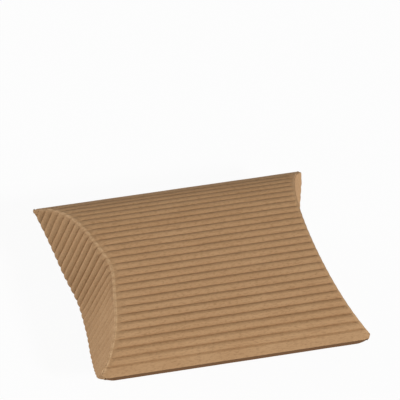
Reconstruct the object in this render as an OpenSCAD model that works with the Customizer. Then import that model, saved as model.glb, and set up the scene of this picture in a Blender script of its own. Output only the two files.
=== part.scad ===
// Pillow-shaped favor box folded from one blank of single-face corrugated kraft board.
// X runs along the flutes, Y runs across them from the fold to the glued seam, Z is up.
// The origin is on the surface that the box rests on, under its centre.
// The board is a flat liner inside and a fluted medium outside. Each panel and each flap is
// given as those two layers, because the blank bends wherever a crease or a flute lets it.

/* [Box] */
// Width between the two long edges
box_w = 86; // [76:1:100]
// Length between the corner points
box_l = 110; // [96:1:150]
// Rise of each panel at its crown above the mid-plane
panel_rise = 15; // [13:0.5:18]
// How far the curved crease runs in from the corner points at the crown
crease_inset = 14.2; // [12:0.2:17]
// Radius of the corners in plan
corner_r = 4; // [2:0.5:6]

/* [Board] */
// Thickness of the flat liner
liner_t = 0.4; // [0.3:0.05:0.6]
// Thickness of the fluted medium
medium_t = 0.3; // [0.2:0.05:0.35]
// Height of the flutes above the liner
flute_h = 1.3; // [1:0.1:1.6]
// Distance from flute to flute
flute_pitch = 3.2; // [2.9:0.1:3.6]
// Width of the strip that each flute valley glues to the liner
valley_w = 0.8; // [0.7:0.05:1]
// Thickness of the medium where it is crushed flat
crushed_t = 0.35; // [0.3:0.05:0.5]

/* [Creases and edges] */
// Width of the crushed band on each side of a curved crease
crease_band_w = 2; // [1.4:0.1:3]
// Plain crushed band on each panel along the long fold
fold_band_w = 4.2; // [3.4:0.1:6]
// Plain crushed band on each panel along the glued seam
seam_band_w = 3.2; // [2.6:0.1:5]
// Height of the crushed long edges above the liner
edge_h = 0.8; // [0.5:0.1:1.2]

/* [End flaps] */
// Outward lean of the outer flaps as they stand
outer_lean = 15; // [5:1:20]
// Outward lean of the inner flaps as they stand
inner_lean = 8; // [0:1:10]
// Length of the outer flaps at their middle
outer_reach = 28; // [24:0.5:29]
// Length of the inner flaps at their middle
inner_reach = 18; // [14:0.5:19]
// How far the inner flaps sit inside the outer ones
inner_setback = 2.2; // [2:0.1:3.5]
// Width of the flat-standing middle of a flap, between its two flex lines
flap_mid_w = 35; // [26:1:44]

/* [Glued seam] */
// Width of the glue tab under the top panel
tab_w = 12; // [8:0.5:14]
// Thickness of the crushed tab
tab_t = 0.8; // [0.6:0.1:1.2]
// How far the tab ends stop short of the creases
tab_end_inset = 6; // [4:0.5:10]
// Crushed root of the tab inside the seam fold
tab_root_w = 2.4; // [1.8:0.2:3.4]
// Thickness of the glue film
glue_t = 0.1; // [0.05:0.05:0.2]
// Flutes that the glue line spans
glue_flutes = 2; // [1:1:3]

/* [Hidden] */

kraft_top = "#ad8a64";
kraft_dark = "#a27d58";
kraft_liner = "#b8976f";
glue_tone = "#d9cfae";

// Named clearances and the overrun of every cut
crease_gap = 0.5;
flex_gap = 0.3;
overrun = 5;
// How far a crushed band laps under the first of the fluting
band_lap = 0.3;
// Depth by which the lowest flutes are pressed flat where the box rests
rest_flat = 0.1;

// Segments on the crest of one flute
flute_steps = 8;
// Segments on the rounded long edges
edge_steps = 6;
// Segments of a full turn on the corners in plan
corner_steps = 48;
// Steps of the arc length table
arc_steps = 240;
// Places of the flute valleys against the crown, in flute pitches
top_phase_share = 0.67;
bottom_phase_share = 0.5;
// How much fuller than a parabola the arch is
fullness_share = 0.39;
// Flank thickness of the medium against its crest
flank_share = 0.7;
// Shortest step along the outline of a layer, against the width of a valley
least_step_share = 0.125;

half_w = box_w / 2;
half_l = box_l / 2;
mid_z = panel_rise + flute_h - rest_flat;

// The arch of a panel, from crown to long edge, with u from 0 to 1
function arch_z(u) = panel_rise * (1 - (1 - fullness_share) * u ^ 2 - fullness_share * u ^ 6);
function arch_slope(u) =
    -panel_rise / half_w * (2 * (1 - fullness_share) * u + 6 * fullness_share * u ^ 5);
function arch_step(i) = norm([half_w / arc_steps,
                              arch_z((i + 1) / arc_steps) - arch_z(i / arc_steps)]);

// Arc length from the crown against the distance in Y
arc_table = [for (i = 0, s = 0; i <= arc_steps; s = s + arch_step(i), i = i + 1)
             [s, half_w * i / arc_steps]];
half_arc = arc_table[arc_steps][0];
function arc_y(s) = sign(s) * lookup(abs(s), arc_table);

// A point of a sheet: s is the arc length on the panel, off the distance outwards from the
// liner's outer face, and k scales the arch, 1 for a panel and negative for an end flap
function sheet_point(s, off, k) =
    let (y = arc_y(s), g = k * arch_slope(abs(y) / half_w) * sign(y), n = norm([1, g]))
    [y - off * g / n, k * arch_z(abs(y) / half_w) + off / n];

// Valleys and crowns of the flutes
function valley_s(i, phase_share) = (i + phase_share) * flute_pitch;
function crown_s(i, phase_share) = (i + phase_share + 0.5) * flute_pitch;
function first_valley(phase_share) =
    ceil((fold_band_w - half_arc) / flute_pitch - phase_share);
function last_valley(phase_share) =
    floor((half_arc - seam_band_w) / flute_pitch - phase_share);

// Outline of a plain layer between two arc lengths
least_step = valley_w * least_step_share;
function layer_stations(s0, s1, phase_share) =
    concat([s0],
           [for (i = [first_valley(phase_share):last_valley(phase_share)])
            for (side = [-1, 1])
            let (s = valley_s(i, phase_share) + side * valley_w / 2)
            if (s > s0 + least_step && s < s1 - least_step) s],
           [s1]);
function layer_outline(s0, s1, low, high, k, phase_share) =
    let (stations = layer_stations(s0, s1, phase_share), last = len(stations) - 1)
    concat([for (s = stations) sheet_point(s, high, k)],
           [for (j = [0:last]) sheet_point(stations[last - j], low, k)]);

// Outline of the fluted medium from valley i0 to valley i1
inner_half = (flute_pitch - valley_w) / 2;
outer_half = inner_half + medium_t * flank_share;
crest_h = flute_h - medium_t;
function flute_arc(i, half, base, k, phase_share) =
    [for (j = [0:flute_steps])
     let (a = 180 * j / flute_steps)
     sheet_point(crown_s(i, phase_share) - half * cos(a), base + crest_h * sin(a), k)];
function fluting_outline(i0, i1, trim0, trim1, k, phase_share) =
    let (s0 = valley_s(i0, phase_share) + trim0, s1 = valley_s(i1, phase_share) - trim1)
    concat([sheet_point(s0, medium_t, k)],
           [for (i = [i0:i1 - 1]) each flute_arc(i, outer_half, medium_t, k, phase_share)],
           [sheet_point(s1, medium_t, k), sheet_point(s1, 0, k)],
           [for (i = [i1 - 1:-1:i0])
            let (arc = flute_arc(i, inner_half, 0, k, phase_share))
            each [for (j = [0:flute_steps]) arc[flute_steps - j]]],
           [sheet_point(s0, 0, k)]);

// Runs an outline drawn in Y and Z along X
module run_along_x(length) {
    translate([-length / 2, 0, 0])
        rotate([90, 0, 90])
            linear_extrude(length) children();
}

// Everything on the box side of the two creases of a panel, set back by an amount in X
module between_creases(back) {
    reach = panel_rise + overrun;
    lean = crease_inset / panel_rise;
    rotate([90, 0, 0])
        linear_extrude(box_w + 2 * overrun, center = true)
            polygon([[half_l - back + lean * reach, -reach],
                     [half_l - back - lean * reach, reach],
                     [back + lean * reach - half_l, reach],
                     [back - half_l - lean * reach, -reach]]);
}

// Plan of the box with rounded corners
module plan_prism() {
    translate([0, 0, -panel_rise - overrun])
        linear_extrude(2 * (panel_rise + overrun)) {
            square([box_l - 2 * corner_r, box_w + 2 * overrun], center = true);
            square([box_l, box_w - 2 * (corner_r - edge_h)], center = true);
            for (x = [-1, 1])
                for (y = [-1, 1])
                    translate([x * (half_l - corner_r), y * (half_w + edge_h - corner_r)])
                        circle(corner_r, $fn = corner_steps);
        }
}

// Set-back of a panel's end, which leaves room for the flap's liner beside it
panel_back = liner_t + crease_gap + liner_t * crease_inset / panel_rise;

module panel_liner(phase_share, back) {
    s0 = valley_s(first_valley(phase_share), phase_share);
    s1 = valley_s(last_valley(phase_share), phase_share);
    intersection() {
        run_along_x(box_l)
            polygon(layer_outline(s0, s1, -liner_t, 0, 1, phase_share));
        between_creases(back);
    }
}

module panel_fluting(phase_share, back) {
    i0 = first_valley(phase_share);
    i1 = last_valley(phase_share);
    s0 = valley_s(i0, phase_share);
    s1 = valley_s(i1, phase_share);
    intersection() {
        run_along_x(box_l)
            polygon(fluting_outline(i0, i1, 0, 0, 1, phase_share));
        between_creases(back + crease_band_w);
    }
    difference() {
        intersection() {
            run_along_x(box_l)
                polygon(layer_outline(s0, s1, 0, crushed_t, 1, phase_share));
            between_creases(back);
        }
        between_creases(back + crease_band_w + band_lap);
    }
}

module top_liner() {
    color(kraft_liner)
        translate([0, 0, mid_z]) panel_liner(top_phase_share, panel_back);
}

module top_fluting() {
    color(kraft_top)
        translate([0, 0, mid_z]) panel_fluting(top_phase_share, panel_back);
}

module bottom_liner() {
    color(kraft_liner)
        translate([0, 0, mid_z])
            mirror([0, 0, 1])
                panel_liner(bottom_phase_share, panel_back + inner_setback);
}

module bottom_fluting() {
    color(kraft_dark)
        intersection() {
            translate([0, 0, mid_z])
                mirror([0, 0, 1])
                    panel_fluting(bottom_phase_share, panel_back + inner_setback);
            translate([-half_l, -half_w - overrun, 0])
                cube([box_l, box_w + 2 * overrun, 2 * mid_z]);
        }
}

// Points along one arm of a long edge, drawn at positive Y, as far as the mid-plane
function arm(s0, s1, off, side) =
    [for (j = [0:edge_steps])
     let (p = sheet_point(s0 + (s1 - s0) * j / edge_steps, off, 1))
     if (p[1] > 0) [p[0], side * p[1]]];
function nose(a0, a1) =
    [for (j = [0:edge_steps])
     let (a = a0 + (a1 - a0) * j / edge_steps)
     [half_w + edge_h * cos(a), edge_h * sin(a)]];
function mid_plane_point(off) = [half_w + off / sin(edge_lean), 0];

// Runs a 2D drawing of a long edge along the box, rounds its corners and puts it in place
module long_edge() {
    translate([0, 0, mid_z])
        intersection() {
            run_along_x(box_l) children();
            plan_prism();
            between_creases(0);
            mirror([0, 0, 1]) between_creases(0);
        }
}

edge_lean = atan(-arch_slope(1));
top_near_s = -valley_s(first_valley(top_phase_share), top_phase_share);
bottom_near_s = -valley_s(first_valley(bottom_phase_share), bottom_phase_share);
top_far_s = valley_s(last_valley(top_phase_share), top_phase_share);
bottom_far_s = valley_s(last_valley(bottom_phase_share), bottom_phase_share);

module near_fold() {
    turn = 90 - edge_lean;
    color(kraft_top)
        long_edge()
            mirror([1, 0])
                polygon(concat(arm(top_near_s, half_arc, edge_h, 1),
                               nose(turn, -turn),
                               arm(half_arc, bottom_near_s, edge_h, -1),
                               arm(bottom_near_s, half_arc, -liner_t, -1),
                               [mid_plane_point(-liner_t)],
                               arm(half_arc, top_near_s, -liner_t, 1)));
}

// Depths of the tab under the liner's outer face of the top panel
tab_top = -liner_t - glue_t;
tab_low = tab_top - tab_t;

module seam_fold() {
    turn = 90 - edge_lean;
    root_s = half_arc - tab_root_w;
    color(kraft_dark)
        long_edge()
            polygon(concat(nose(0, -turn),
                           arm(half_arc, bottom_far_s, edge_h, -1),
                           arm(bottom_far_s, root_s, -liner_t, -1),
                           arm(root_s, half_arc, tab_low, -1),
                           [mid_plane_point(tab_low)],
                           arm(half_arc, root_s, tab_low, 1),
                           arm(root_s, half_arc, tab_top, 1),
                           [mid_plane_point(tab_top)]));
}

module top_seam_edge() {
    color(kraft_top)
        long_edge()
            polygon(concat(arm(top_far_s, half_arc, edge_h, 1),
                           [mid_plane_point(-liner_t)],
                           arm(half_arc, top_far_s, -liner_t, 1)));
}

// A layer under the top panel beside the seam, its ends following the creases
module under_top(s0, s1, low, high) {
    translate([0, 0, mid_z])
        intersection() {
            run_along_x(box_l)
                polygon(layer_outline(s0, s1, low, high, 1, top_phase_share));
            between_creases(tab_end_inset);
        }
}

// Arc length where the liner leaves a valley on the side of the crown
function valley_edge_s(i) = valley_s(i, top_phase_share) - valley_w / 2;

module seam_tab() {
    first = round((half_arc - tab_w) / flute_pitch - top_phase_share);
    color(kraft_liner)
        under_top(valley_edge_s(first), half_arc - tab_root_w, tab_low, tab_top);
}

module seam_glue() {
    last = last_valley(top_phase_share);
    color(glue_tone)
        under_top(valley_edge_s(last - glue_flutes), top_far_s, tab_top, -liner_t);
}

// End flaps. Each is described in its own frame, with X down the flap, Y along the crease and
// Z outwards, and the corner line of the box as the frame's Y axis.
outer = 0;
inner = 1;
near_strip = 0;
mid_strip = 1;
far_strip = 2;
flap_lean = [outer_lean, inner_lean];
flap_reach = [outer_reach, inner_reach];
flap_back = [0, inner_setback];
flap_phase_shares = [top_phase_share, bottom_phase_share];

// Flutes left out of a flap at each corner, where the sheets meet
corner_flutes = 1;

// Depth of the flap's hollow at its middle, and how far its crease runs in from the corner line
function flap_hollow(ply) =
    cos(flap_lean[ply]) * crease_inset - sin(flap_lean[ply]) * panel_rise;
function flap_crease(ply) =
    sin(flap_lean[ply]) * crease_inset + cos(flap_lean[ply]) * panel_rise;

// Valleys where each strip of a flap starts and ends
function flex_valley(ply, side) =
    round(side * flap_mid_w / 2 / flute_pitch - flap_phase_shares[ply]);
function strip_valleys(ply, strip) =
    let (phase_share = flap_phase_shares[ply])
    strip == near_strip ? [first_valley(phase_share) + corner_flutes, flex_valley(ply, -1)] :
    strip == mid_strip ? [flex_valley(ply, -1), flex_valley(ply, 1)] :
    [flex_valley(ply, 1), last_valley(phase_share) - corner_flutes];

// The wedge between the flap's root, moved along by an amount, and its free edge
module flap_wedge(ply, shift) {
    hollow = flap_hollow(ply);
    reach = flap_reach[ply];
    crease = flap_crease(ply);
    apex = -shift * hollow / reach;
    deep = -hollow - overrun;
    rotate([90, 0, 0])
        linear_extrude(box_w + 2 * overrun, center = true)
            polygon([[(crease - reach) * apex / hollow, apex],
                     [shift + crease * deep / hollow, deep],
                     [(crease - reach) * deep / hollow, deep]]);
}

// Everything further down the flap than its crease, moved along by an amount
module past_crease(ply, shift) {
    slope = flap_crease(ply) / flap_hollow(ply);
    deep = -flap_hollow(ply) - overrun;
    far_end = flap_reach[ply] + flap_crease(ply) + overrun;
    rotate([90, 0, 0])
        linear_extrude(box_w + 2 * overrun, center = true)
            polygon([[shift + slope * overrun, overrun], [shift + slope * deep, deep],
                     [far_end, deep], [far_end, overrun]]);
}

// Runs a flap's cross-section down the flap
module run_down_flap(ply) {
    translate([-flap_crease(ply) - overrun, 0, 0])
        rotate([90, 0, 90])
            linear_extrude(flap_reach[ply] + flap_crease(ply) + overrun) children();
}

// Turns a flap's frame to where the flap stands on its panel
module stand_flap(ply) {
    translate([half_l - flap_back[ply], 0, 0])
        rotate([0, 90 - flap_lean[ply], 0]) children();
}

// Everything under the outer face of a panel, with its crushed medium
module under_panel() {
    run_along_x(box_l + 2 * overrun)
        polygon(concat([for (j = [-2 * edge_steps:2 * edge_steps])
                        sheet_point(half_arc * j / edge_steps / 2, crushed_t, 1)],
                       [[half_w + overrun, -panel_rise - overrun],
                        [-half_w - overrun, -panel_rise - overrun]]));
}

module flap_liner_shape(ply, strip) {
    phase_share = flap_phase_shares[ply];
    valleys = strip_valleys(ply, strip);
    s0 = valley_s(valleys[0], phase_share) + flex_gap / 2;
    s1 = valley_s(valleys[1], phase_share) - flex_gap / 2;
    k = -flap_hollow(ply) / panel_rise;
    intersection() {
        stand_flap(ply)
            intersection() {
                run_down_flap(ply)
                    polygon(layer_outline(s0, s1, -liner_t, 0, k, phase_share));
                flap_wedge(ply, -overrun);
            }
        under_panel();
    }
}

module flap_fluting_shape(ply, strip) {
    phase_share = flap_phase_shares[ply];
    valleys = strip_valleys(ply, strip);
    s0 = valley_s(valleys[0], phase_share) + flex_gap / 2;
    s1 = valley_s(valleys[1], phase_share) - flex_gap / 2;
    k = -flap_hollow(ply) / panel_rise;
    stand_flap(ply)
        intersection() {
            run_down_flap(ply)
                polygon(fluting_outline(valleys[0], valleys[1], flex_gap / 2, flex_gap / 2,
                                        k, phase_share));
            flap_wedge(ply, crease_band_w);
        }
    intersection() {
        stand_flap(ply)
            difference() {
                intersection() {
                    run_down_flap(ply)
                        polygon(layer_outline(s0, s1, 0, crushed_t, k, phase_share));
                    flap_wedge(ply, -overrun);
                }
                past_crease(ply, crease_band_w + band_lap);
            }
        under_panel();
    }
}

// Puts a flap, described at the right end on the top panel, on its own end and panel
module flap_place(end, ply) {
    translate([0, 0, mid_z])
        mirror([end < 0 ? 1 : 0, 0, 0])
            mirror([0, 0, ply == inner ? 1 : 0]) children();
}

left = -1;
right = 1;
module flap_liner(end, ply, strip) {
    color(kraft_liner)
        flap_place(end, ply) flap_liner_shape(ply, strip);
}
module flap_fluting(end, ply, strip) {
    color(kraft_dark)
        flap_place(end, ply) flap_fluting_shape(ply, strip);
}

top_liner();
top_fluting();
bottom_liner();
bottom_fluting();
near_fold();
seam_fold();
top_seam_edge();
seam_tab();
seam_glue();
flap_liner(left, outer, mid_strip);  // left_outer_mid_liner
flap_fluting(left, outer, mid_strip);  // left_outer_mid_fluting
flap_liner(left, outer, far_strip);  // left_outer_far_liner
flap_fluting(left, outer, far_strip);  // left_outer_far_fluting
flap_liner(left, outer, near_strip);  // left_outer_near_liner
flap_fluting(left, outer, near_strip);  // left_outer_near_fluting
flap_liner(left, inner, mid_strip);  // left_inner_mid_liner
flap_fluting(left, inner, mid_strip);  // left_inner_mid_fluting
flap_liner(left, inner, far_strip);  // left_inner_far_liner
flap_fluting(left, inner, far_strip);  // left_inner_far_fluting
flap_liner(left, inner, near_strip);  // left_inner_near_liner
flap_fluting(left, inner, near_strip);  // left_inner_near_fluting
flap_liner(right, outer, mid_strip);  // right_outer_mid_liner
flap_fluting(right, outer, mid_strip);  // right_outer_mid_fluting
flap_liner(right, outer, far_strip);  // right_outer_far_liner
flap_fluting(right, outer, far_strip);  // right_outer_far_fluting
flap_liner(right, outer, near_strip);  // right_outer_near_liner
flap_fluting(right, outer, near_strip);  // right_outer_near_fluting
flap_liner(right, inner, mid_strip);  // right_inner_mid_liner
flap_fluting(right, inner, mid_strip);  // right_inner_mid_fluting
flap_liner(right, inner, far_strip);  // right_inner_far_liner
flap_fluting(right, inner, far_strip);  // right_inner_far_fluting
flap_liner(right, inner, near_strip);  // right_inner_near_liner
flap_fluting(right, inner, near_strip);  // right_inner_near_fluting
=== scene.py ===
import math
from bisect import bisect_right

import bmesh
import bpy
from mathutils import Matrix, Vector, noise


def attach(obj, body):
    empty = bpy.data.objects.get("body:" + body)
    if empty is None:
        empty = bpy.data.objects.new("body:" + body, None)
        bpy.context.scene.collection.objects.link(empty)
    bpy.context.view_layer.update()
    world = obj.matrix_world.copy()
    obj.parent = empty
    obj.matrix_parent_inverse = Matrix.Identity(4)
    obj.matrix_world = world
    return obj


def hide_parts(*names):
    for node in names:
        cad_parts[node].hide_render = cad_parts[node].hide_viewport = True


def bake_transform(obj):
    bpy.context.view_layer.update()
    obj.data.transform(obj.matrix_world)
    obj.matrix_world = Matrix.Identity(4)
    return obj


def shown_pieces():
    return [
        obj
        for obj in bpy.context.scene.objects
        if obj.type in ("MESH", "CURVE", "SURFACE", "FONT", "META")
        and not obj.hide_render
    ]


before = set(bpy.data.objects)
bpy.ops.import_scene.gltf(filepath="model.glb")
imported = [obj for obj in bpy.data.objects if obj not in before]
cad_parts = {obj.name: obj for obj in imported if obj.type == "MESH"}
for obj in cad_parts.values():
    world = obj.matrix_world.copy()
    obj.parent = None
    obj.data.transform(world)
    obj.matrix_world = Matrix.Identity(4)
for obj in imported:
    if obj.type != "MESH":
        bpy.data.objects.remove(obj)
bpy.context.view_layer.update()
print("frame loaded:", len(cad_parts), "solids")

mm = 0.001
left, right = -1, 1             # ends of the box
near, far = -1, 1               # its long edges: the fold and the glued seam
upper, lower = 1, -1            # its panels

boxForm = {                     # the box as its solids have it
    "halfWidth": 43 * mm,
    "halfLength": 55 * mm,
    "rise": 15 * mm,            # of a panel's crown over the mid-plane
    "inset": 14.2 * mm,         # of the curved crease at the crown
    "fullness": 0.39,           # 0 is a parabola
    "fullPower": 6,             # of the term that fills the arch's shoulders
    "midHeight": 16.2 * mm,     # of the plane through the four corners
    "innerSetback": 2.2 * mm,   # of the bottom panel's creases
    "linerThickness": 0.4 * mm,
    "mediumThickness": 0.3 * mm,
}
outline = {                     # what every piece stays within
    "halfLength": 54.76 * mm,
    "halfWidth": 43.79 * mm,
    "top": 32.49 * mm,
    "cornerRadius": {(left, near): 4.0 * mm, (left, far): 0.9 * mm,
                     (right, near): 3.6 * mm, (right, far): 1.0 * mm},
}
creaseDrift = {                 # the left crease is bent by hand and strays from its plane
    "middle": -2 * mm, "spread": 10 * mm, "inwards": 1.85 * mm, "outwards": 0.55 * mm,
    "fade": (33 * mm, 42 * mm),     # ways from the middle over which it comes back to it
}


def archHeight(y):
    u = min(abs(y) / boxForm["halfWidth"], 1)
    full, power = boxForm["fullness"], boxForm["fullPower"]
    return boxForm["rise"] * (1 - (1 - full) * u ** 2 - full * u ** power)


def archSlope(y):
    u = min(abs(y) / boxForm["halfWidth"], 1)
    full, power = boxForm["fullness"], boxForm["fullPower"]
    steep = 2 * (1 - full) * u + power * full * u ** (power - 1)
    return -math.copysign(boxForm["rise"] / boxForm["halfWidth"] * steep, y)


arcSteps = 400
arcTable = [0.0]
for step in range(arcSteps):    # arc length from the crown against the way across
    y0 = boxForm["halfWidth"] * step / arcSteps
    y1 = boxForm["halfWidth"] * (step + 1) / arcSteps
    arcTable.append(arcTable[-1] + math.hypot(y1 - y0, archHeight(y1) - archHeight(y0)))
halfArc = arcTable[-1]


def acrossAt(s):                # how far across the box an arc length reaches
    a = min(abs(s), halfArc)
    i = min(bisect_right(arcTable, a) - 1, arcSteps - 1)
    part = (a - arcTable[i]) / (arcTable[i + 1] - arcTable[i])
    return math.copysign(boxForm["halfWidth"] * (i + part) / arcSteps, s)


def smooth(low, high, x):
    t = min(max((x - low) / (high - low), 0), 1)
    return t * t * (3 - 2 * t)


def bump(middle, spread, x):
    return math.exp(-((x - middle) / spread) ** 2)


def drift(x, s, size, seed):    # slow unevenness from -1 to 1
    return noise.noise(Vector((x / size, s / size, seed)))


def endLimit(end, y):           # half length of the rounded plan outline at a place across
    radius = outline["cornerRadius"][(end, near if y < 0 else far)]
    over = max(abs(y) - outline["halfWidth"] + radius, 0)
    return outline["halfLength"] - radius + math.sqrt(max(radius ** 2 - over ** 2, 0))


def within(co):                 # holds a point inside the outline
    co.y = min(max(co.y, -outline["halfWidth"]), outline["halfWidth"])
    limit = endLimit(left if co.x < 0 else right, co.y)
    co.x = min(max(co.x, -limit), limit)
    co.z = min(max(co.z, 0), outline["top"])
    return co


def creaseShift(end, y):        # how far inwards the top crease lies of its plane
    if end == right:
        return 0.0
    inwards = creaseDrift["inwards"] * bump(creaseDrift["middle"], creaseDrift["spread"], y)
    return (inwards - creaseDrift["outwards"]) * (1 - smooth(*creaseDrift["fade"], abs(y)))


def creaseReach(end, up, y, back):          # half length from the middle to a panel's crease
    height = archHeight(y)
    shift = creaseShift(end, y) if up == upper else 0.0
    reach = boxForm["halfLength"] - back - boxForm["inset"] * height / boxForm["rise"] - shift
    return min(reach, endLimit(end, y))


# Flutes: broad crests and narrow valleys, a little uneven as rolled paper is
fluteForm = {
    "pitch": 3.223 * mm,        # flute to flute
    "phase": {upper: 0.717, lower: 0.5},    # place of the valleys against the crown
    "height": 1.3 * mm,
    "valleyHeight": 0.3 * mm,   # the medium's own thickness, glued down
    "crestRound": 2.0,          # higher is a flatter crest
    "flankSteep": 0.95,         # lower is a steeper flank
    "wander": 0.17 * mm,        # sideways drift of a valley
    "wanderLength": 26 * mm,
    "waver": 0.09 * mm,         # and its quicker unsteadiness
    "waverLength": 6 * mm,
    "waverSeed": 9,
    "slack": 0.1,               # share by which crests fall short of the full height
    "slackLength": 30 * mm,     # along a flute, over which that changes
    "slackStep": 3.7,           # and in the noise, from one flute to the next
    "slackSeed": 5,
    "pressed": 0.55,            # share that the last flutes at the seam lose
    "pressedFrom": 4 * mm,      # arc length from which they lose it
    "foldBand": 4.2 * mm,       # plain bands along the long edges
    "seamBand": {upper: 5.6 * mm, lower: 2.8 * mm},
    "dent": 0.17, "dentFrom": (2 * mm, 28 * mm),            # of the crests towards the fold
    "lastDent": 0.12, "lastDentFrom": (35 * mm, 40 * mm),   # and more on the last one
    "dentAt": 0.33, "dentSpread": 0.1,  # in turns from the valley on its near side
}


def flute(s, x, up, seed):      # share of its height, 0 in a valley and 1 on a crest, and that height
    form = fluteForm
    shifted = (s + form["wander"] * drift(x, s, form["wanderLength"], seed)
               + form["waver"] * drift(x, s, form["waverLength"], seed + form["waverSeed"]))
    turns = shifted / form["pitch"] - form["phase"][up]
    fromCrest = abs(2 * (turns % 1) - 1)
    share = max(1 - fromCrest ** form["crestRound"], 0) ** form["flankSteep"]
    dent = (form["dent"] * smooth(*form["dentFrom"], -s)
            + form["lastDent"] * smooth(*form["lastDentFrom"], -s))
    share = max(share - dent * bump(form["dentAt"], form["dentSpread"], turns % 1), 0)
    number = math.floor(turns)
    place = Vector((x / form["slackLength"], number * form["slackStep"], seed + form["slackSeed"]))
    loss = form["slack"] * (0.5 + 0.5 * noise.noise(place))
    return share, 1 - loss - form["pressed"] * smooth(form["pressedFrom"], halfArc, s)


def mediumOff(share, height, plain, grown):     # height over the liner, from plain board to full flute
    low = fluteForm["valleyHeight"]
    full = low + (fluteForm["height"] - low) * share * height
    return plain + (full - plain) * grown


def valleyEnds(up):             # arc lengths of a panel's first and last valley
    pitch, phase = fluteForm["pitch"], fluteForm["phase"][up]
    first = math.ceil((fluteForm["foldBand"] - halfArc) / pitch - phase)
    last = math.floor((halfArc - fluteForm["seamBand"][up]) / pitch - phase)
    return (first + phase) * pitch, (last + phase) * pitch


wearForm = {                    # creases are rubbed paler, the left ones most
    "share": {left: 1.0, right: 0.35},
    "reach": (0.05 * mm, 0.5 * mm),     # ways from the crease over which it ends
    "valleyShare": 0.3,         # of what a crest gets
}
foldShadeLevel = 2.0               # painted shade under the near fold, where a valley's painted shade is 1


def rubbed(end, way, share):    # wear at a way from a crease
    low = wearForm["valleyShare"]
    return wearForm["share"][end] * (1 - smooth(*wearForm["reach"], way)) * (low + (1 - low) * share)


crispAngle = math.radians(55)
weldReach = 2e-7                # for points that the outline presses together at the corners


def makeGrid(name, columns, rows, place, flip=False, thickness=0.0):
    bm = bmesh.new()
    bmesh.ops.create_grid(bm, x_segments=len(columns) - 1, y_segments=len(rows) - 1, size=1)
    wear = bm.verts.layers.float.new("wear")
    # the second layer is painted shade that the material reads: in the valleys, and darkest under the
    # near fold
    valley = bm.verts.layers.float.new("valley")
    for v in bm.verts:          # the new grid reaches from -1 to 1
        i = round((v.co.x + 1) / 2 * (len(columns) - 1))
        j = round((v.co.y + 1) / 2 * (len(rows) - 1))
        v.co, v[wear], v[valley] = place(columns[i], rows[j])
    if flip:
        bmesh.ops.reverse_faces(bm, faces=bm.faces)
    if thickness:               # the wall grows away from where the sheet faces
        bm.normal_update()
        backwards = [(v, -v.normal * thickness) for v in bm.verts]
        bmesh.ops.extrude_face_region(bm, geom=bm.faces[:], use_keep_orig=True)
        for v, way in backwards:
            v.co = within(v.co + way)
        bmesh.ops.remove_doubles(bm, verts=bm.verts, dist=weldReach)
    bm.normal_update()
    for f in bm.faces:
        f.smooth = True
    for e in bm.edges:          # crisp cut edges round a smooth sheet
        e.smooth = e.calc_face_angle(0) < crispAngle
    mesh = bpy.data.meshes.new(name)
    bm.to_mesh(mesh)
    bm.free()
    piece = bpy.data.objects.new(name, mesh)
    bpy.context.scene.collection.objects.link(piece)
    return piece


def boxPiece(piece, node):
    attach(piece, "box")
    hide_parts(node)


# Top and bottom panels' fluted medium, which rolls over the curved creases
panelForm = {
    "lipRadius": 0.45 * mm,
    "lipTurns": (85, 60, 40, 20, 0),    # degrees that the medium turns down over the crease
    "waysIn": [way * mm for way in (0.25, 0.5, 0.8, 1.1, 1.5, 1.9, 2.3, 2.8, 3.4, 4.2, 5.2)],
    "middleColumns": 44,        # between the close columns at the creases
    "perFlute": {upper: 16, lower: 8},
    "crushedHeight": 0.45 * mm,
    "crushedTo": {left: 0.4 * mm, right: 0.0 * mm},     # plain band beside the crease
    "fullFrom": {left: 2.2 * mm, right: 1.1 * mm},      # where the flutes have their full height
    "farBand": 0.9 * mm,        # by which that band is wider on the far half of the left end
    "farBandTo": 22 * mm,       # place across at which it has that width
    "ridgeUneven": {left: 0.3 * mm, right: 0.1 * mm},   # how far the flutes show through at the crease
    "ridgeLevel": 0.6,          # share of a flute's height that lies level with the band
    "leastDark": {left: 0.0, right: 0.8},       # the valleys' painted shade stays where they run out over the crease
    "seed": {upper: 1.0, lower: 2.0},
}


def lengthColumns():            # lips as degrees, ways in from a crease, the middle as a share
    ends = {}
    for end in (left, right):
        ends[end] = [("lip", end, turn) for turn in panelForm["lipTurns"]]
        ends[end] += [("in", end, way) for way in panelForm["waysIn"]]
    count = panelForm["middleColumns"]
    return ends[left] + [("mid", 0, k / count) for k in range(1, count)] + ends[right][::-1]


def lengthPlace(column, reach):     # x, way in from the crease, turn of the lip and the end
    kind, end, value = column
    if kind == "lip":
        return end * reach[end], 0.0, math.radians(value), end
    if kind == "in":
        return end * (reach[end] - value), value, 0.0, end
    innermost = panelForm["waysIn"][-1]
    low = innermost - reach[left]
    x = low + (reach[right] - innermost - low) * value
    end = left if value < 0.5 else right
    return x, reach[end] - abs(x), 0.0, end


def panelPlace(up, back):
    def place(column, s):
        y = acrossAt(s)
        slope = archSlope(y)
        size = math.hypot(1, slope)
        reach = {end: creaseReach(end, up, y, back) for end in (left, right)}
        x, inward, turn, end = lengthPlace(column, reach)
        share, height = flute(s, x, up, panelForm["seed"][up])
        wider = panelForm["farBand"] * smooth(0, panelForm["farBandTo"], y) if end == left else 0.0
        grown = smooth(panelForm["crushedTo"][end] + wider, panelForm["fullFrom"][end] + wider, inward)
        uneven = panelForm["ridgeUneven"][end] * (share - panelForm["ridgeLevel"])
        off = mediumOff(share, height, panelForm["crushedHeight"] + uneven, grown)
        if turn:
            radius = panelForm["lipRadius"] + uneven
            off = radius * math.cos(turn)
            x += end * radius * math.sin(turn)
        z = up * (archHeight(y) + off / size) + boxForm["midHeight"]
        # painted shade in the valleys, for the material
        dark = (1 - share) * max(grown, panelForm["leastDark"][end])
        return within(Vector((x, y - off * slope / size, z))), rubbed(end, inward, share), dark

    return place


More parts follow.
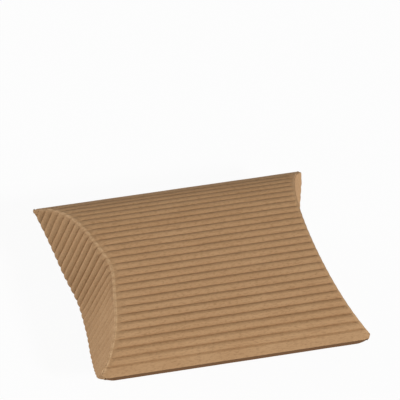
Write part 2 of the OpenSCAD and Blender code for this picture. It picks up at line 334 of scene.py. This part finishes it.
def panelRows(up):
    first, last = valleyEnds(up)
    count = round((last - first) / fluteForm["pitch"]) * panelForm["perFlute"][up]
    return [first + (last - first) * k / count for k in range(count + 1)]


panels = (("top", upper, 0.0), ("bottom", lower, boxForm["innerSetback"]))
for word, up, back in panels:
    flutes = makeGrid(word + "PanelFlutes", lengthColumns(), panelRows(up), panelPlace(up, back),
                      flip=up == lower, thickness=boxForm["mediumThickness"])
    boxPiece(flutes, word + "_fluting")

# Liners of the panels, flat sheets that the valleys are glued to
linerForm = {
    "short": 0.35 * mm,         # of the crease
    "edgeGap": 0.9 * mm,        # along the arc, to the long edges
    "rows": 80,
    "columns": 20,
    "endShares": [0, 0.005, 0.01, 0.03],    # of the length, where the columns stand closer
}


def linerPlace(up, back):
    def place(column, s):
        y = acrossAt(s)
        reach = {end: creaseReach(end, up, y, back) - linerForm["short"] for end in (left, right)}
        x = -reach[left] + (reach[left] + reach[right]) * column
        return Vector((x, y, up * archHeight(y) + boxForm["midHeight"])), 0.0, 0.0

    return place


linerReach, count = halfArc - linerForm["edgeGap"], linerForm["rows"]
linerRows = [linerReach * (2 * k / count - 1) for k in range(count + 1)]
count = linerForm["columns"]
linerColumns = (linerForm["endShares"] + [k / count for k in range(1, count)]
                + [1 - share for share in reversed(linerForm["endShares"])])
for word, up, back in panels:
    liner = makeGrid(word + "PanelLiner", linerColumns, linerRows, linerPlace(up, back),
                     flip=up == lower, thickness=boxForm["linerThickness"])
    boxPiece(liner, word + "_liner")
print("panels made")

# Long edges: the board pressed flat, folded at the near side and glued at the far side
edgeForm = {
    "height": 0.8 * mm,         # of the pressed board over the liner's outer face
    "thickness": 0.75 * mm,
    "uneven": 0.06 * mm, "unevenLength": 14 * mm, "unevenSeed": 7.0,
    "riseTo": 0.7 * mm,         # over which the last valley comes up to the plain band
    "valleyDark": 0.5 * mm,     # how far the painted shade of that valley reaches
    "darkFade": 0.8 * mm,       # to either side of a crease, over which it fades
    "bulge": 0.1 * mm, "bulgeAt": 1.1 * mm, "bulgeSpread": 0.8 * mm,    # along the fold's rim
    "thinTo": 1.6 * mm,         # over which the band thins towards a crease
    "setbackTo": 5.0 * mm,      # over which the underside's end runs in to the bottom crease
    "cap": (0.96 * mm, 3.2 * mm),   # ways from the edge over which the ends close towards the corners
    "wear": (0.1 * mm, 0.9 * mm),   # ways from a crease over which the wear ends
    "wearFrom": 4 * mm,         # way from the edge over which it begins
    "noseFrom": 42.6 * mm,      # place across from which the outlines below bulge out
    "fold": [(43.22, 0.74), (43.34, 0.58), (43.30, 0.36), (43.12, 0.05), (43.10, -0.50),
             (43.34, -1.22), (43.16, -1.62), (42.66, -1.96)],   # across and up, in mm, of the near fold
    "foldStart": {upper: 0.3 * mm, lower: 2.4 * mm},    # ways from the edge at which its arms begin
    "shadedSpan": (0.5, -1.5),        # heights, in mm, between which its underside gets painted shade
    "lift": 0.7, "liftTo": 4.0 * mm,    # share by which its lower lip is drawn up at the corners
    "seam": [(42.75, 0.00), (43.22, 0.12), (43.46, -0.06), (43.46, -0.34)],    # and of the far one
    "seamStart": 0.2 * mm,
    "seamHeight": 0.5 * mm,     # of the top panel's edge at the seam, pressed flatter
    "tab": (2.7 * mm, 1.0 * mm),    # ways from the edge between which the fold lies under that edge
    "tabDepth": 0.5 * mm,
    "steps": {"foldTop": 20, "seamTop": 16, "bottom": 12, "tab": 3},
}


def armRows(side, up, start, stop, count, off):     # points along one side of an edge
    rows = []
    for k in range(count + 1):
        way = start + (stop - start) * k / count
        y = acrossAt(side * (halfArc - way))
        slope = archSlope(y)
        size = math.hypot(1, slope)
        high, dark = off(way)
        rows.append((y - high * slope / size, up * (archHeight(y) + high / size),
                     y, -slope / size, up / size, up, way, dark))
    return rows


def noseRows(side, points, shadedSpan=(0, 0)):            # points round the fold itself
    rows = []
    for (y, z) in points:
        out = Vector((y * mm - edgeForm["noseFrom"], z * mm)).normalized()
        # painted shade on the fold's underside, between the heights given
        dark = foldShadeLevel if shadedSpan[1] < z < shadedSpan[0] else 0.0
        up = lower if z < 0 else upper
        rows.append((side * y * mm, z * mm, side * y * mm, side * out.x, out.y, up, 0.0, dark))
    return rows


def bandOff(valleyWay, high=edgeForm["height"], bulge=0.0):     # height over the liner, and painted shade
    low = fluteForm["valleyHeight"]

    def off(way):
        gone = valleyWay - way
        rise = bulge * bump(edgeForm["bulgeAt"], edgeForm["bulgeSpread"], way)
        return (low + (high - low) * smooth(0, edgeForm["riseTo"], gone) + rise,
                1 - smooth(0, edgeForm["valleyDark"], gone))

    return off


def tabOff(way):
    return -edgeForm["tabDepth"], 0.0


def edgePlace(column, row):     # row: across, up, where its crease is, way out, panel, way in, painted shade
    y, z, flat, outY, outZ, up, way, dark = row
    back = boxForm["innerSetback"] * smooth(0, edgeForm["setbackTo"], way) if up == lower else 0.0
    reach = {end: min(creaseReach(end, up, flat, back), endLimit(end, y)) for end in (left, right)}
    x, inward, turn, end = lengthPlace(column, reach)
    if way == 0 and z < 0:
        z *= 1 - edgeForm["lift"] * (1 - smooth(0, edgeForm["liftTo"], inward))
    thin = edgeForm["height"] - panelForm["lipRadius"]
    drop = thin * (1 - smooth(0, edgeForm["thinTo"], inward))
    drop += edgeForm["uneven"] * drift(x, way, edgeForm["unevenLength"], edgeForm["unevenSeed"])
    y, z = y - outY * drop, z - outZ * drop
    cap = 1 - smooth(*edgeForm["cap"], way)
    turned = 1 - math.cos(turn)     # the lip turns down over the crease, or closes the end
    x += end * panelForm["lipRadius"] * math.sin(turn)
    y -= outY * panelForm["lipRadius"] * turned * (1 - cap)
    z -= outZ * panelForm["lipRadius"] * turned * (1 - cap) + z * turned * cap
    wear = wearForm["share"][end] * (1 - smooth(*edgeForm["wear"], inward))
    wear *= smooth(0, edgeForm["wearFrom"], way)
    dark *= smooth(-edgeForm["darkFade"], edgeForm["darkFade"], inward)
    return within(Vector((x, y, z + boxForm["midHeight"]))), wear, dark


def valleyWays(up):             # ways from the near and the far edge to a panel's last valleys
    first, last = valleyEnds(up)
    return halfArc + first, halfArc - last


topNear, topFar = valleyWays(upper)
bottomNear, bottomFar = valleyWays(lower)
steps = edgeForm["steps"]
foldRows = (armRows(near, upper, topNear, edgeForm["foldStart"][upper], steps["foldTop"],
                    bandOff(topNear, bulge=edgeForm["bulge"]))
            + noseRows(near, edgeForm["fold"], edgeForm["shadedSpan"])
            + armRows(near, lower, edgeForm["foldStart"][lower], bottomNear, steps["bottom"],
                      bandOff(bottomNear)))
topSeamRows = armRows(far, upper, topFar, 0.0, steps["seamTop"],
                      bandOff(topFar, edgeForm["seamHeight"]))
seamRows = (armRows(far, upper, *edgeForm["tab"], steps["tab"], tabOff)
            + noseRows(far, edgeForm["seam"])
            + armRows(far, lower, edgeForm["seamStart"], bottomFar, steps["bottom"],
                      bandOff(bottomFar)))
for name, node, rows, flip in (("nearFoldBand", "near_fold", foldRows, True),
                               ("topSeamBand", "top_seam_edge", topSeamRows, False),
                               ("seamFoldBand", "seam_fold", seamRows, False)):
    band = makeGrid(name, lengthColumns(), rows, edgePlace, flip=flip, thickness=edgeForm["thickness"])
    boxPiece(band, node)
print("long edges made")

# End flaps, each in three strips that meet at two flex lines along valleys
flapForm = {                    # lean in degrees out of the upright
    "outer": {"lean": 15, "reach": 28 * mm, "back": 0.0, "up": upper},
    "inner": {"lean": 8, "reach": 18 * mm, "back": boxForm["innerSetback"], "up": lower},
    "middleWidth": 35 * mm,     # of the middle strip, about, since it ends in valleys
    "strips": {"near": near, "mid": 0, "far": far},
    "bendWidth": 14 * mm,       # over which the board bends beside a flex line
    "perFlute": 14,
    "seed": 3.0,
    "creaseShares": [0, 0.012, 0.025, 0.04, 0.06, 0.085, 0.12],     # of its depth, close at the crease
    "downSteps": 18,            # and even ones from the last of them
    "mediumStart": -0.1 * mm,   # way down from the crease
    "crushedHeight": 0.3 * mm,
    "crushedTo": 0.1 * mm,
    "fullFrom": 1.3 * mm,
    "innerPressed": 5 * mm,     # more of it on the inner flap, where the outer one's edge comes to lie
    "cut": 0.5, "cutFrom": 2.5 * mm,    # share that the die presses the flutes' ends, and its reach
    "cornerPlain": 0.8 * mm,    # no flutes this close to the corners
    "cornerFade": 3.0 * mm,     # and over this much more they die away
    "cornerGap": {"outer": 0.25 * mm, "inner": 4.0 * mm},   # room that the inner flap needs to move
    # painted shade in the flaps' valleys, and more of it where they start
    "valleyDark": 0.8,
    "pitShade": 0.6, "pitAt": 1.4 * mm, "pitSpread": 0.6 * mm,   # more painted shade where the valleys start
    "linerStart": 1.5 * mm,     # below the crease, where the liner turns in under the panel
    "linerStartShare": 0.3,     # or of the flap's depth, near the corners
    "turnedIn": {("outer", left): 1.3 * mm, ("outer", right): 2.3 * mm,     # how far it reaches there,
                 ("inner", left): 2.6 * mm, ("inner", right): 2.6 * mm},    # to close an open crease
    "turnedFrom": (6 * mm, 17 * mm),    # ways from the middle over which it grows to that
    "turnedHeights": (3 * mm, 9 * mm),  # and heights of the arch
    "turnedLeast": 0.3 * mm,
    "turnedBehind": 0.5 * mm,   # the panel's crease
    "turnedClear": 1.5 * mm,    # below the outer face of the panel's liner
}
flapDrift = {                   # how the flaps stray from their plain form
    "flare": 2.0 * mm, "flareAt": -27 * mm, "flareSpread": 13 * mm,     # free edge, left outer one
    "tuck": 1.0 * mm, "tuckAt": 5 * mm, "tuckSpread": 9 * mm,
    "tuckAll": 0.8 * mm, "tuckAllFrom": (-38 * mm, -25 * mm),
    "pressed": 0.9,             # share by which its near half's flutes are pressed down
    "pressedAt": -17 * mm, "pressedSlant": 17 * mm, "pressedSoft": 8 * mm,  # more so at the free edge
    "low": 0.05,                # share that all its flutes lack
    "rightFlare": 0.9 * mm, "rightFlareAt": 36 * mm, "rightFlareSpread": 7 * mm,
    "rightPlain": 8 * mm,       # over which the flutes of the right outer one come up from its crease
    "rightPlainTo": (24 * mm, 31 * mm),     # places across between which that ends
    "rightPressed": 0.6,        # share that its flutes beyond them lose
    "innerTuck": {left: 1.6 * mm, right: 0.8 * mm},     # of the inner ones, clear of the outer ones
    "innerTuckTo": 3 * mm,
}


def flapLines(ply):             # its lean, its hollow at the middle, and way from corner line to crease
    lean = math.radians(flapForm[ply]["lean"])
    hollow = math.cos(lean) * boxForm["inset"] - math.sin(lean) * boxForm["rise"]
    crease = math.sin(lean) * boxForm["inset"] + math.cos(lean) * boxForm["rise"]
    return lean, hollow, crease


def flexArcs(ply):              # arc lengths of the two flex lines, which follow valleys
    phase, pitch = fluteForm["phase"][flapForm[ply]["up"]], fluteForm["pitch"]
    half = flapForm["middleWidth"] / 2 / pitch
    return [(round(side * half - phase) + phase) * pitch for side in (near, far)]


def flapFlutes(ply, end, y, t, down, ahead):     # share of its height that a flap's flute has
    rise = flapForm["fullFrom"]
    pressed = 0.0
    if ply == "inner":
        rise += flapForm["innerPressed"]
    elif end == right:
        beyond = smooth(*flapDrift["rightPlainTo"], y)
        rise += flapDrift["rightPlain"] * (1 - beyond)
        pressed = flapDrift["rightPressed"] * beyond
    else:
        middle, soft = flapDrift["pressedAt"] + flapDrift["pressedSlant"] * t, flapDrift["pressedSoft"]
        pressed = flapDrift["pressed"] * (1 - smooth(middle - soft, middle + soft, y))
        pressed = 1 - (1 - pressed) * (1 - flapDrift["low"])
    cut = flapForm["cut"] * (1 - smooth(0, flapForm["cutFrom"], ahead))
    return smooth(flapForm["crushedTo"], rise, down) * (1 - pressed) * (1 - cut)


def flapStray(ply, end, y, t, down):    # how far outwards a point lies of the flap's plain form
    stray = flapDrift
    if ply == "inner":
        return -stray["innerTuck"][end] * smooth(0, stray["innerTuckTo"], down)
    if end == right:
        return stray["rightFlare"] * bump(stray["rightFlareAt"], stray["rightFlareSpread"], y) * t
    flare = stray["flare"] * bump(stray["flareAt"], stray["flareSpread"], y)
    tuck = stray["tuck"] * bump(stray["tuckAt"], stray["tuckSpread"], y)
    tuck += stray["tuckAll"] * smooth(*stray["tuckAllFrom"], y)
    return (flare - tuck) * t - creaseShift(end, y) * (1 - t)


def turnedPlace(ply, end, y, share):    # the part of the liner that is turned in under the panel
    form = flapForm[ply]
    height, slope = archHeight(y), archSlope(y)
    under = flapForm["turnedClear"] / math.hypot(1, slope)
    length = (flapForm["turnedIn"][(ply, end)] * smooth(*flapForm["turnedFrom"], abs(y))
              * smooth(*flapForm["turnedHeights"], height) + flapForm["turnedLeast"])
    x = creaseReach(end, form["up"], y, form["back"]) - flapForm["turnedBehind"] - length * share
    return Vector((end * x, y + under * slope, form["up"] * (height - under) + boxForm["midHeight"]))


def flapPlace(ply, end, layer):
    lean, hollow, crease = flapLines(ply)
    form = flapForm[ply]
    scale = -hollow / boxForm["rise"]
    corner = boxForm["halfLength"] - form["back"]
    room = boxForm["mediumThickness"]           # that the walls take up outside their sheet
    if layer == "liner":
        room += boxForm["linerThickness"]

    def place(column, s):
        kind, t = column
        y = acrossAt(s)
        if kind == "turned":
            return turnedPlace(ply, end, y, t), 0.0, 0.0
        level, slope = scale * archHeight(y), scale * archSlope(y)
        size = math.hypot(1, slope)
        top, low = crease * level / hollow, (crease - form["reach"]) * level / hollow
        depth = low - top           # from the crease to the free edge
        start = flapForm["mediumStart"]
        if layer == "liner":
            start = min(flapForm["linerStart"], flapForm["linerStartShare"] * depth)
        down = start + (depth - start) * t
        off = wear = dark = 0.0
        if layer == "medium":
            along = end * (boxForm["halfLength"] + down)
            share, height = flute(s, along, form["up"], flapForm["seed"] + end)
            grown = flapFlutes(ply, end, y, t, down, depth - down)
            grown *= smooth(0, flapForm["cornerFade"], halfArc - abs(s) - flapForm["cornerPlain"])
            uneven = panelForm["ridgeUneven"][end] * (share - panelForm["ridgeLevel"])
            off = mediumOff(share, height, flapForm["crushedHeight"] + uneven, grown)
            wear = rubbed(end, down, share)
            pitShade = flapForm["pitShade"] * bump(flapForm["pitAt"], flapForm["pitSpread"], down)
            # painted shade in the valleys
            dark = (1 - share) * grown * (flapForm["valleyDark"] + pitShade)
        way, out = top + down, level + off / size
        x = corner + way * math.sin(lean) + out * math.cos(lean) + flapStray(ply, end, y, t, down)
        across = y - off * slope / size
        x = min(x, endLimit(end, across) - room)
        z = -way * math.cos(lean) + out * math.sin(lean)
        return within(Vector((end * x, across, form["up"] * z + boxForm["midHeight"]))), wear, dark

    return place


downShares = list(flapForm["creaseShares"])
lastShare, downSteps = downShares[-1], flapForm["downSteps"]
downShares += [lastShare + (1 - lastShare) * k / downSteps for k in range(1, downSteps + 1)]
downColumns = [("down", share) for share in downShares]
turnedColumns = [("turned", share) for share in (1, 0.5, 0)]   # of how far it is turned in
flapColumns = {"medium": downColumns, "liner": turnedColumns + downColumns}
for endName, end in (("left", left), ("right", right)):
    for ply in ("outer", "inner"):
        first, last = flexArcs(ply)
        edge = halfArc - flapForm["cornerGap"][ply]
        spans = {"near": (-edge, first), "mid": (first, last), "far": (last, edge)}
        flap = endName + "_" + ply + "_flap"
        flip = end == flapForm[ply]["up"]       # so that sheets face inwards and walls grow outwards
        for strip, side in flapForm["strips"].items():
            s0, s1 = spans[strip]
            count = max(2, round((s1 - s0) / fluteForm["pitch"] * flapForm["perFlute"]))
            rows = [s0 + (s1 - s0) * k / count for k in range(count + 1)]
            for layer, word, node in (("medium", "Flutes", "fluting"), ("liner", "Liner", "liner")):
                name = endName + ply.capitalize() + strip.capitalize() + word
                piece = makeGrid(name, flapColumns[layer], rows, flapPlace(ply, end, layer),
                                 flip=flip, thickness=boxForm[layer + "Thickness"])
                if side == 0:
                    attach(piece, flap)
                else:
                    y = acrossAt(first if side == near else last)
                    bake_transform(piece)
                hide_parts("_".join((endName, ply, strip, node)))
print("flaps made")


# Materials
def colour(hexText):            # sRGB hex to the linear values that a shader reads
    parts = [int(hexText[i:i + 2], 16) / 255 for i in (1, 3, 5)]
    return [c / 12.92 if c <= 0.04045 else ((c + 0.055) / 1.055) ** 2.4 for c in parts] + [1.0]


def addNode(tree, kind, settings=None, links=None):
    node = tree.nodes.new(kind)
    for key, value in (settings or {}).items():
        setattr(node, key, value)
    for key, value in (links or {}).items():
        if isinstance(value, bpy.types.NodeSocket):
            tree.links.new(value, node.inputs[key])
        else:
            node.inputs[key].default_value = value
    return node


def newMaterial(name):
    made = bpy.data.materials.new(name)
    made.use_nodes = True
    made.node_tree.nodes.clear()
    return made, made.node_tree


paperPattern = {
    "cloudSize": (16.67 * mm, 6.25 * mm),   # along the box and across it
    "cloudDetail": 3.0, "cloudRoughness": 0.55,
    "cloudRange": (0.3, 0.7), "cloudShares": (0.0, 0.45),
    # flecks of fibre: a real fibre is about 0.03 mm wide and wouldn't show, so they are drawn coarser
    "fibreSize": (1.429 * mm, 0.5 * mm),
    "fibreDetail": 2.0, "fibreRoughness": 0.6,
    "fibreRange": (0.48, 0.8), "fibreShares": (0.0, 0.65),
    "fibreDepth": 0.12 * mm, "fibreStrength": 0.25,     # of their bump
    "wornRange": (0.35, 0.6), "wornShares": (0.05, 0.75),   # wear comes through in flecks
    "valleyPower": 3.0,         # keeps the painted shade of a valley narrow
    "ior": 1.45,
}
# in each look, deep is the colour of the dark fibre flecks and of the painted shade in the valleys;
# crease is a darker painted shade for under the near fold
paperLooks = {
    # the fluting, unbleached kraft paper: matt brown and cloudy, with painted shade in its valleys and
    # under the near fold, pale where rubbed
    "unbleachedKraftMedium": {
        "base": "#b18a61", "pale": "#bf9a71", "deep": "#85603a", "crease": "#6b4a2b",
        "rubbed": "#dcb88e", "valleyShare": 0.4, "roughness": 0.82},
    # the liner, the same paper pressed smoother: a little lighter and less matt
    "unbleachedKraftLiner": {
        "base": "#b58f66", "pale": "#c4a27a", "deep": "#8f6c47", "crease": "#8f6c47",
        "rubbed": "#dcb88e", "valleyShare": 0.0, "roughness": 0.78},
    # starch glue dried in paper: a pale film with a slight shine, through which the fibres show
    "driedStarchGlue": {
        "base": "#d9cfae", "pale": "#e2dabf", "deep": "#c2b58e", "crease": "#c2b58e",
        "rubbed": "#dcb88e", "valleyShare": 0.0, "roughness": 0.45},
}
colourA, colourB, colourOut = 6, 7, 2   # a Mix node's sockets for colours


def paperMaterial(name, look):
    made, tree = newMaterial(name)
    form = paperPattern
    where = addNode(tree, "ShaderNodeTexCoord")
    noises, tones = {}, {}
    for kind in ("cloud", "fibre"):
        along, across = form[kind + "Size"]
        space = addNode(tree, "ShaderNodeMapping", links={
            "Vector": where.outputs["Object"], "Scale": (1 / along, 1 / across, 1 / across)})
        noises[kind] = addNode(tree, "ShaderNodeTexNoise", {"noise_dimensions": "3D"}, {
            "Vector": space.outputs["Vector"], "Scale": 1.0,
            "Detail": form[kind + "Detail"], "Roughness": form[kind + "Roughness"]})
    for word, kind in (("cloud", "cloud"), ("fibre", "fibre"), ("worn", "fibre")):
        (fromMin, fromMax), (toMin, toMax) = form[word + "Range"], form[word + "Shares"]
        tones[word] = addNode(tree, "ShaderNodeMapRange", links={
            "Value": noises[kind].outputs["Fac"], "From Min": fromMin, "From Max": fromMax,
            "To Min": toMin, "To Max": toMax}).outputs["Result"]
    # painted shade, read from the sheets: dark in the valleys, and above 1 darker still under the near
    # fold
    valley = addNode(tree, "ShaderNodeAttribute", {"attribute_name": "valley"})
    narrowed = addNode(tree, "ShaderNodeMath", {"operation": "POWER"},
                       {0: valley.outputs["Fac"], 1: form["valleyPower"]})
    tones["valley"] = addNode(tree, "ShaderNodeMath", {"operation": "MULTIPLY"},
                              {0: narrowed.outputs[0], 1: look["valleyShare"]}).outputs[0]
    # the crease tone is painted shade: under the near fold, and where the flaps' valleys start
    tones["crease"] = addNode(tree, "ShaderNodeMapRange", links={
        "Value": valley.outputs["Fac"], "From Min": 1.0, "From Max": foldShadeLevel}).outputs["Result"]
    wear = addNode(tree, "ShaderNodeAttribute", {"attribute_name": "wear"})
    tones["wear"] = addNode(tree, "ShaderNodeMath", {"operation": "MULTIPLY"},
                            {0: wear.outputs["Fac"], 1: tones["worn"]}).outputs[0]
    # the valley and crease tones mix painted shade into the paper; cloud, fibre and wear are its own
    # colour
    mixed = colour(look["base"])
    for tone, layer in (("cloud", "pale"), ("fibre", "deep"), ("valley", "deep"), ("crease", "crease"),
                        ("wear", "rubbed")):
        mixed = addNode(tree, "ShaderNodeMix", {"data_type": "RGBA"}, {
            "Factor": tones[tone], colourA: mixed, colourB: colour(look[layer])}).outputs[colourOut]
    relief = addNode(tree, "ShaderNodeBump", links={
        "Strength": form["fibreStrength"], "Distance": form["fibreDepth"],
        "Height": noises["fibre"].outputs["Fac"]})
    paper = addNode(tree, "ShaderNodeBsdfPrincipled", links={
        "Base Color": mixed, "Roughness": look["roughness"], "IOR": form["ior"],
        "Normal": relief.outputs["Normal"]})
    addNode(tree, "ShaderNodeOutputMaterial", links={"Surface": paper.outputs["BSDF"]})
    return made


finishes = {name: paperMaterial(name, look) for name, look in paperLooks.items()}
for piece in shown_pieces():
    name = piece.name
    finish = "unbleachedKraftMedium"
    if "liner" in name.lower() or name == "seam_tab":
        finish = "unbleachedKraftLiner"
    if name == "seam_glue":
        finish = "driedStarchGlue"
    piece.data.materials.clear()
    piece.data.materials.append(finishes[finish])
print("materials set")


# Floor, light and camera
def straightRays(tree):         # 1 where the background itself is seen, also in gloss or through glass
    path = addNode(tree, "ShaderNodeLightPath")
    either = addNode(tree, "ShaderNodeMath", {"operation": "MAXIMUM"},
                     {0: path.outputs["Is Camera Ray"], 1: path.outputs["Is Glossy Ray"]})
    seen = addNode(tree, "ShaderNodeMath", {"operation": "MAXIMUM"},
                   {0: either.outputs[0], 1: path.outputs["Is Transmission Ray"]})
    return seen.outputs[0]


white = (1, 1, 1, 1)
floorForm = {
    "size": 1.2,
    "level": -1.2 * mm,         # under the inner flaps, which reach below the box as they open
    "colour": "#e4e4e4",
    "seenWhite": 0.95,          # share of plain white that the camera sees in it
}
floorSides = [-floorForm["size"] / 2, floorForm["size"] / 2]
floor = makeGrid("floor", floorSides, floorSides,
                 lambda x, y: (Vector((x, y, floorForm["level"])), 0, 0))
paint, tree = newMaterial("paleBackdrop")
matt = addNode(tree, "ShaderNodeBsdfDiffuse", links={"Color": colour(floorForm["colour"])})
bright = addNode(tree, "ShaderNodeEmission", links={"Color": white, "Strength": 1.0})
share = addNode(tree, "ShaderNodeMath", {"operation": "MULTIPLY"},
                {0: straightRays(tree), 1: floorForm["seenWhite"]})
both = addNode(tree, "ShaderNodeMixShader", links={
    0: share.outputs[0], 1: matt.outputs["BSDF"], 2: bright.outputs["Emission"]})
addNode(tree, "ShaderNodeOutputMaterial", links={"Surface": both.outputs["Shader"]})
floor.data.materials.append(paint)

studioForm = {
    "ambient": 0.2,             # strength of the world's light on the object
    "lamps": {                  # azimuth and elevation of its place, strength, softness in degrees
        "key": (33, 35, 2.55, 10),
        "leftFill": (-111, 6, 1.85, 20),
    },
}
scene = bpy.context.scene
world = bpy.data.worlds.new("studio")
scene.world = world
world.use_nodes = True
tree = world.node_tree
tree.nodes.clear()
dim = addNode(tree, "ShaderNodeBackground", links={"Color": white, "Strength": studioForm["ambient"]})
full = addNode(tree, "ShaderNodeBackground", links={"Color": white, "Strength": 1.0})
pick = addNode(tree, "ShaderNodeMixShader", links={
    0: straightRays(tree), 1: dim.outputs["Background"], 2: full.outputs["Background"]})
addNode(tree, "ShaderNodeOutputWorld", links={"Surface": pick.outputs["Shader"]})
for lampName, (azimuth, elevation, strength, spread) in studioForm["lamps"].items():
    light = bpy.data.lights.new(lampName, "SUN")
    light.energy = strength
    light.angle = math.radians(spread)
    lamp = bpy.data.objects.new(lampName, light)
    scene.collection.objects.link(lamp)
    a, e = math.radians(azimuth), math.radians(elevation)
    back = Vector((math.sin(a) * math.cos(e), -math.cos(a) * math.cos(e), math.sin(e)))
    lamp.rotation_mode = "QUATERNION"
    lamp.rotation_quaternion = back.to_track_quat("Z", "Y")

cameraForm = {
    "azimuth": -27.80, "elevation": 47.32, "roll": 13.00,
    "distance": 2.7221, "lens": 641.05, "sensor": 36,
    "clip": (0.5, 20),
    "asideShare": 0.01628, "downShare": 0.66169,    # of the box's centre in the picture, in half widths
}
a, e = math.radians(cameraForm["azimuth"]), math.radians(cameraForm["elevation"])
roll = math.radians(cameraForm["roll"])
forward = Vector((-math.sin(a) * math.cos(e), math.cos(a) * math.cos(e), -math.sin(e)))
level = Vector((math.cos(a), math.sin(a), 0))
upright = level.cross(forward)
pictureRight = math.cos(roll) * level + math.sin(roll) * upright
pictureUp = math.cos(roll) * upright - math.sin(roll) * level
half = boxForm["halfWidth"]
eye = (Vector((0, 0, boxForm["midHeight"])) - forward * cameraForm["distance"]
       - pictureRight * cameraForm["asideShare"] * half + pictureUp * cameraForm["downShare"] * half)
turn = Matrix((pictureRight, pictureUp, -forward)).transposed().to_4x4()
cameraData = bpy.data.cameras.new("camera")
cameraData.lens = cameraForm["lens"]
cameraData.sensor_width = cameraForm["sensor"]
cameraData.clip_start, cameraData.clip_end = cameraForm["clip"]
camera = bpy.data.objects.new("camera", cameraData)
camera.matrix_world = Matrix.Translation(eye) @ turn
scene.collection.objects.link(camera)
scene.camera = camera
scene.view_settings.view_transform = "Standard"
print("scene lit")
